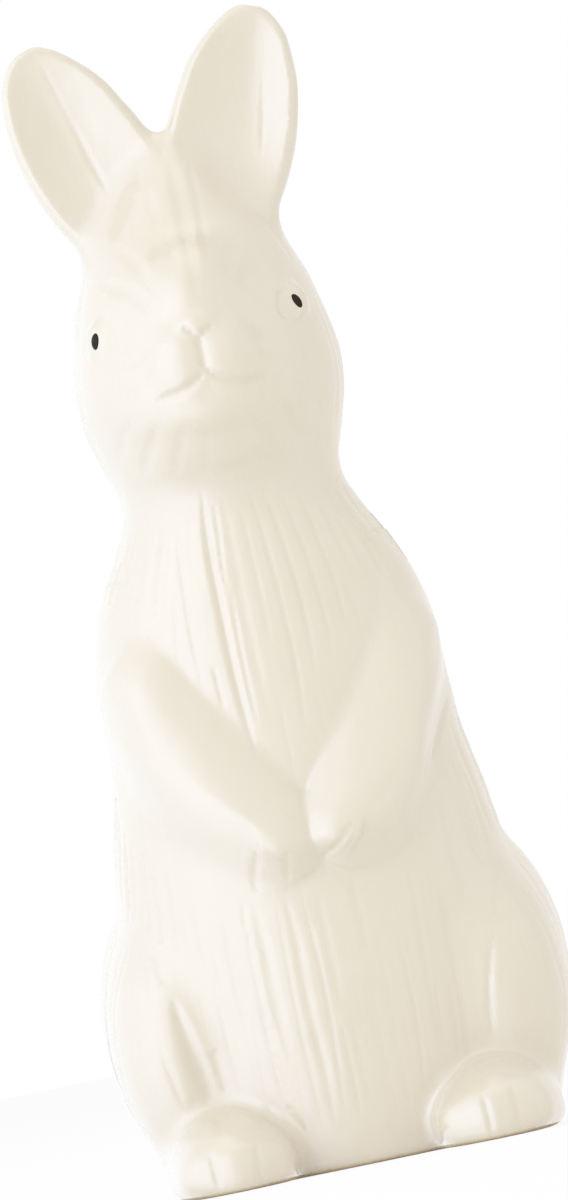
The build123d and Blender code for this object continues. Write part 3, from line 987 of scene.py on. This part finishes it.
# What lies under this height is on the ground
GROUND = 0.3
plate_low, plate_high = (np.array(corner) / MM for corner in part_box("base_plate"))
ledge_middle = (plate_low + plate_high) / 2 * (1, 1, 0)
ledge_half = (plate_high - plate_low) / 2 + PLATE_GAP
under = points[faces].mean(1)
in_ledge = (((under - ledge_middle) / ledge_half)[:, :2] ** 2).sum(1) < 1
open_foot = in_ledge & (under[:, 2] < GROUND)


def loops_of(quads):
    """The open edges of some faces, chained into closed loops that run the faces' way."""
    pairs = np.concatenate([quads[:, [i, (i + 1) % 4]] for i in range(4)]).astype(np.int64)
    span = pairs.max() + 1
    open_pairs = pairs[~np.isin(pairs[:, 0] * span + pairs[:, 1], pairs[:, 1] * span + pairs[:, 0])]
    ahead = {}
    for a, b in open_pairs.tolist():
        ahead.setdefault(a, []).append(b)
    loops = []
    while ahead:
        start = here = next(iter(ahead))
        loop = []
        while not loop or here != start:
            loop.append(here)
            onward = ahead[here].pop()
            if not ahead[here]:
                del ahead[here]
            here = onward
        loops.append(loop)
    return loops


def closed_piece(name, own):
    """One piece's faces with its joints closed: points, directions, cut depths and faces."""
    used, flat = np.unique(own, return_inverse=True)
    quads = flat.reshape(-1, 4)
    spots, faced, depth = points[used].copy(), normals[used].copy(), cut_depth[used]
    added, turned, caps = [], [], []
    for loop in loops_of(quads):
        start, count = len(spots) + len(added), len(loop)
        if name == "trunk" and spots[loop][:, 2].max() < GROUND:
            away = (spots[loop] - ledge_middle) / ledge_half * (1, 1, 0)
            away /= np.linalg.norm(away, axis=1, keepdims=True)
            spots[loop] = ledge_middle + away * ledge_half * (1, 1, 0)
            ring = spots[loop] + (0, 0, plate_high[2] + PLATE_SEAT)
            peak = ledge_middle + (0, 0, HOLLOW_TOP)
            aim = np.zeros_like(ring) - (0, 0, 1)
        else:
            ring = spots[loop] - faced[loop] * CAP_DEPTH
            peak = ring.mean(0)
            aim = faced[loop]
        added += [*ring, peak]
        turned += [*aim, aim.mean(0)]
        for i in range(count):
            j = (i + 1) % count
            caps.append((loop[j], loop[i], start + i, start + j))
            caps.append((start + j, start + i, start + count))
    depth = np.concatenate([depth, np.zeros(len(added))])
    return np.vstack([spots, added]), np.vstack([faced, turned]), depth, quads.tolist() + caps


for row, name in enumerate(PIECES):
    spots, faced, depth, own = closed_piece(name, faces[(owner == row) & ~open_foot])
    piece = plain_object(f"{name}_skin", spots, own)
    keep_at_points(piece, "cut", depth)
    faced /= np.maximum(np.linalg.norm(faced, axis=1, keepdims=True), 1e-6)
    piece.data.normals_split_custom_set_from_vertices(faced.tolist())
    piece.data.materials.append(glaze)
    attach(piece, "root")
    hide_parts(name)

# Glaze: a glossy ivory glaze over pale clay, in which the brush has left faint streaks. It is
# thin on the ridges, pools warmer in the strokes, and is wiped off the edge on the ground.
IVORY = (0.82, 0.745, 0.62, 1)
WARM = (0.76, 0.67, 0.53, 1)
CLAY = (0.84, 0.70, 0.52, 1)
# Shares of the strokes, of the clouds and of the streaks in how thick the glaze lies
POOL_SHARE, CLOUD_SHARE, STREAK_SHARE = 0.45, 0.5, 0.3
# Height of the wiped edge, and how far it wanders
BARE_HEIGHT, BARE_WANDER = 0.75 * MM, 0.8 * MM
GLAZE_ROUGHNESS, CLAY_ROUGHER = 0.25, 0.55
GRAIN_SHARE = 0.15
# Sockets of a Mix node that mixes colours: share, first colour, second colour, result
MIX_SHARE, MIX_FIRST, MIX_SECOND, MIXED = 0, 6, 7, 2
place = pot.node("ShaderNodeTexCoord", out="Object")
pooled = pot.node("ShaderNodeAttribute", {"attribute_name": "cut"}, out="Fac")
cloud = pot.node("ShaderNodeTexNoise", {}, {"Vector": place, "Scale": 45.0, "Detail": 3.0})
height = pot.node("ShaderNodeSeparateXYZ", {}, {0: place}, "Z")


def mixed(wire, share, first, second):
    """Two colours mixed by a share."""
    values = {MIX_SHARE: share, MIX_FIRST: first, MIX_SECOND: second}
    return wire.node("ShaderNodeMix", {"data_type": "RGBA"}, values, MIXED)


along = pot.node("ShaderNodeVectorMath", {"operation": "MULTIPLY"}, {0: place, 1: (1, 1, 0.07)})
streaks = pot.node("ShaderNodeTexNoise", {}, {"Vector": along, "Scale": 560.0, "Detail": 2.0})
uneven = (cloud - 0.5) * CLOUD_SHARE + (streaks - 0.5) * STREAK_SHARE
thick = pot.maths("ADD", pooled * POOL_SHARE, uneven, use_clamp=True)
bare = pot.maths("LESS_THAN", height + (cloud - 0.5) * BARE_WANDER, BARE_HEIGHT)
mixed(pot, bare, mixed(pot, thick, IVORY, WARM), CLAY).feed(glaze_inputs["Base Color"])
(bare * CLAY_ROUGHER + GLAZE_ROUGHNESS).feed(glaze_inputs["Roughness"])
(1 - bare).feed(glaze_inputs["Coat Weight"])
glaze_inputs["Coat Roughness"].default_value = 0.1
grain = pot.node("ShaderNodeTexNoise", {}, {"Vector": place, "Scale": 900.0, "Detail": 2.0})
relief = streaks + grain * GRAIN_SHARE
bump = pot.node("ShaderNodeBump", {}, {"Strength": 0.5, "Distance": 0.11 * MM, "Height": relief})
bump.feed(glaze_inputs["Normal"])

# Eyes: a dab of dark under-glaze colour on the swelling of each eye, tilted inwards at the
# top, and glazed over.
EYE_WIDTH, EYE_HEIGHT, EYE_RISE = 2.15, 4.2, 0.22
# How deep the dab's edge is tucked in, how deep its back lies, and over what step the slope
# under it is taken
EYE_TUCK, EYE_DEPTH, EYE_STEP = 0.12, 0.8, 0.6
EYE_RINGS, EYE_SIDES = 7, 36
# Each: place across, height, tilt of the top towards the nose
EYES = {"eye_left": (22.0, 184.5, 27.0), "eye_right": (-22.3, 184.7, -12.0)}


def facing(form, at, step):
    """Unit outward direction of a form at points."""
    steps = np.eye(3) * step
    slope = np.stack([form(at + one) - form(at - one) for one in steps], 1)
    return slope / (np.linalg.norm(slope, axis=1, keepdims=True) + 1e-12)


dark, ink, dark_inputs = new_material("eye_colour")
spot = ink.node("ShaderNodeTexCoord", out="Object")
wash = ink.node("ShaderNodeTexNoise", {}, {"Vector": spot, "Scale": 700.0, "Detail": 2.0})
deep, thin = (0.008, 0.006, 0.005, 1), (0.05, 0.042, 0.034, 1)
mixed(ink, wash, deep, thin).feed(dark_inputs["Base Color"])
dark_inputs["Roughness"].default_value = 0.35
dark_inputs["Specular IOR Level"].default_value = 0.1
for name, (across, up, tilt) in EYES.items():
    forward = skin_from_front(figure, np.array([across]), np.array([up]))[0]
    middle = np.array([[across, forward, up]])
    out = facing(figure, middle, EYE_STEP)[0]
    level = np.cross((0, 0, 1), out)
    level /= np.linalg.norm(level)
    rise = np.cross(out, level)
    turn = math.radians(tilt)
    side_way = level * math.cos(turn) + rise * math.sin(turn)
    up_way = rise * math.cos(turn) - level * math.sin(turn)
    around = np.linspace(0, 2 * math.pi, EYE_SIDES, endpoint=False)
    rings = [settle(figure, middle, 5) + out * EYE_RISE]
    for ring in range(1, EYE_RINGS + 1):
        share = ring / EYE_RINGS
        sideways = np.outer(np.cos(around) * share * EYE_WIDTH / 2, side_way)
        upwards = np.outer(np.sin(around) * share * EYE_HEIGHT / 2, up_way)
        seated = settle(figure, middle + sideways + upwards, 5)
        rings.append(seated + out * (EYE_RISE * (1 - share**3) - EYE_TUCK * share**6))
    dab_points = np.concatenate(rings + [middle - out * EYE_DEPTH])
    dab_faces = []
    for i in range(EYE_SIDES):
        j = (i + 1) % EYE_SIDES
        dab_faces.append((0, 1 + i, 1 + j))
        for ring in range(EYE_RINGS - 1):
            a, b = 1 + ring * EYE_SIDES, 1 + (ring + 1) * EYE_SIDES
            dab_faces.append((a + i, b + i, b + j, a + j))
        last = 1 + (EYE_RINGS - 1) * EYE_SIDES
        dab_faces.append((last + j, last + i, len(dab_points) - 1))
    dab = plain_object(f"{name}_dab", dab_points, dab_faces)
    dab.data.materials.append(dark)
    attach(dab, "root")
    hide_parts(name)

# Base plate: the unglazed disc of fired clay that closes the foot, luted in from below. The
# hole in its middle lets the hollow breathe in the kiln.
clay, body, clay_inputs = new_material("bare_clay")
spot = body.node("ShaderNodeTexCoord", out="Object")
speck = body.node("ShaderNodeTexNoise", {}, {"Vector": spot, "Scale": 600.0, "Detail": 4.0})
tan, pale = (0.52, 0.40, 0.27, 1), (0.70, 0.58, 0.43, 1)
mixed(body, speck, tan, pale).feed(clay_inputs["Base Color"])
clay_inputs["Roughness"].default_value = 0.85
rough = body.node("ShaderNodeBump", {}, {"Strength": 0.4, "Distance": 0.2 * MM, "Height": speck})
rough.feed(clay_inputs["Normal"])
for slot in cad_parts["base_plate"].material_slots:
    slot.material = clay

# Studio: a white floor and backdrop, a large soft window from the viewer's left, weaker
# lights from above, from the right and from behind, and a low even light all round.
FLOOR_REACH = 3000.0
# How much of the floor shows as plain white paper, whatever shadow lies on it
PAPER_SHARE = 0.86
floor = plain_object(
    "floor",
    [(x * FLOOR_REACH, y * FLOOR_REACH, 0) for x, y in ((-1, -1), (1, -1), (1, 1), (-1, 1))],
    [(0, 1, 2, 3)],
)
paper, sheet, paper_inputs = new_material("paper", "Material Output")
seen = sheet.node("ShaderNodeLightPath", out="Is Camera Ray")
matt = sheet.node("ShaderNodeBsdfDiffuse", {}, {"Color": (0.96, 0.96, 0.95, 1)})
glow = sheet.node("ShaderNodeEmission", {}, {"Color": (1, 1, 1, 1), "Strength": 1.0})
both = sheet.node("ShaderNodeMixShader", {}, {0: seen * PAPER_SHARE, 1: matt, 2: glow})
both.feed(paper_inputs["Surface"])
floor.data.materials.append(paper)
floor.visible_glossy = False

AMBIENT = 0.80
world = bpy.data.worlds.new("studio")
bpy.context.scene.world = world
world.use_nodes = True
backdrop = world.node_tree.nodes["Background"]
air = Wire(world.node_tree)
shown = air.node("ShaderNodeLightPath", out="Is Camera Ray")
mirrored = air.node("ShaderNodeLightPath", out="Is Glossy Ray")
through = air.node("ShaderNodeLightPath", out="Is Transmission Ray")
backdrop.inputs["Color"].default_value = (1, 1, 1, 1)
white = air.maths("MAXIMUM", air.maths("MAXIMUM", shown, mirrored), through)
(white * (1 - AMBIENT) + AMBIENT).feed(backdrop.inputs["Strength"])


# Each row: name, turn from the front towards the viewer's left in degrees, distance, height,
# width and length of the panel, level, colour; in metres
LAMPS = (
    ("window", 48, 1.6, 0.62, 1.2, 1.6, 1.0, (0.86, 0.94, 1.0)),
    ("skylight", 28, 0.9, 1.4, 1.5, 1.5, 0.38, (1.0, 0.98, 0.94)),
    ("fill", -85, 1.4, 0.4, 1.0, 1.2, 0.34, (1.0, 0.98, 0.95)),
    ("behind", 196, 1.2, 1.1, 1.2, 1.2, 0.5, (1.0, 0.98, 0.95)),
)
LAMP_AIM = Vector((0, 0, 0.12))


def lamp(name, degrees, away, up, width, height, level, colour):
    """A soft panel of light that lights the object without showing in its gloss."""
    turn = math.radians(degrees)
    panel = bpy.data.lights.new(name, "AREA")
    panel.shape = "RECTANGLE"
    panel.size, panel.size_y = width, height
    panel.energy = level * math.pi * width * height
    panel.color = colour
    holder = bpy.data.objects.new(name, panel)
    holder.location = (-away * math.sin(turn), -away * math.cos(turn), up)
    aim = LAMP_AIM - holder.location
    holder.rotation_euler = aim.to_track_quat("-Z", "Y").to_euler()
    holder.visible_camera = False
    holder.visible_glossy = False
    bpy.context.scene.collection.objects.link(holder)


for row in LAMPS:
    lamp(*row)


# The walls of the studio show only in the glaze: a bright bay on the viewer's left, which
# fades out to the front and to the back, and a dimmer corner behind on the right. Over
# them the ceiling is a little brighter than white.
# Each row: turn from the front towards the viewer's left, and the glow there beyond white
WALL = np.array(
    (
        (-180, -0.06, -0.08, -0.10),
        (-130, -0.13, -0.16, -0.20),
        (-103, -0.13, -0.16, -0.20),
        (-99, 0, 0, 0),
        (-4, 0, 0, 0),
        (8, 0.20, 0.26, 0.38),
        (20, 0.72, 0.95, 1.40),
        (36, 1.15, 1.52, 2.35),
        (66, 1.15, 1.52, 2.35),
        (90, 0.80, 1.08, 1.65),
        (120, 0.38, 0.52, 0.80),
        (150, 0.14, 0.20, 0.30),
        (180, -0.06, -0.08, -0.10),
    )
)
# Each row: height, distance from the middle, how much of that glow is left there, and what
# the ceiling adds
WALL_ROWS = (
    (-3200, 1300, 0.1, 0),
    (-1300, 1300, 0.25, 0),
    (-500, 1300, 0.8, 0),
    (0, 1300, 1, 0),
    (900, 1300, 1, 0),
    (1600, 1300, 0.65, 0),
    (2100, 1300, 0.45, 0.05),
    (2500, 1200, 0.25, 0.2),
    (2800, 1000, 0.1, 0.42),
    (3000, 700, 0, 0.58),
    (3000, 300, 0, 0.65),
    (3000, 1, 0, 0.65),
)
WALL_STEP = 5.0
even_turns = np.arange(-180.0, 181.0, WALL_STEP)
turns = np.unique(np.concatenate([WALL[:, 0], even_turns]))
glows = np.stack([np.interp(turns, WALL[:, 0], column) for column in WALL[:, 1:].T], 1)
wall_points, wall_glows, wall_faces = [], [], []
for height, away, left, ceiling in WALL_ROWS:
    for turn, glow in zip(np.radians(turns), glows):
        wall_points.append((-away * math.sin(turn), -away * math.cos(turn), height))
        wall_glows.append((*(1 + glow * left + ceiling), 1.0))
across = len(turns)
for row in range(len(WALL_ROWS) - 1):
    for i in range(row * across, (row + 1) * across - 1):
        wall_faces.append((i, i + 1, i + 1 + across, i + across))
wall = plain_object("wall", wall_points, wall_faces)
keep_at_points(wall, "glow", wall_glows, "FLOAT_COLOR", "color")
paint, brush, paint_inputs = new_material("wall", "Material Output")
lit = brush.node("ShaderNodeAttribute", {"attribute_name": "glow"}, out="Color")
shine = brush.node("ShaderNodeEmission", {}, {"Color": lit, "Strength": 1.0})
shine.feed(paint_inputs["Surface"])
paint.cycles.emission_sampling = "NONE"
wall.data.materials.append(paint)
for ray in ("camera", "diffuse", "shadow", "transmission"):
    setattr(wall, f"visible_{ray}", False)

# Camera: well away, level with the belly, and rolled as the photograph is.
PHOTO_HEIGHT = 1200
PHOTO_SCALE = 0.2154
CAMERA_ROLL = 11.7
CAMERA_STAND = Vector((6.2, -5200.0, 80.0))
CAMERA_AIM = Vector((6.2, 0.0, 122.3))
camera_data = bpy.data.cameras.new("camera")
camera = bpy.data.objects.new("camera", camera_data)
bpy.context.scene.collection.objects.link(camera)
bpy.context.scene.camera = camera
sight = CAMERA_AIM - CAMERA_STAND
turn = sight.to_track_quat("-Z", "Y").to_matrix().to_4x4()
roll = Matrix.Rotation(math.radians(-CAMERA_ROLL), 4, "Z")
camera.matrix_world = Matrix.Translation(CAMERA_STAND * MM) @ turn @ roll
camera_data.lens = camera_data.sensor_width * sight.length / (PHOTO_HEIGHT * PHOTO_SCALE)
bpy.context.scene.view_settings.view_transform = "Standard"
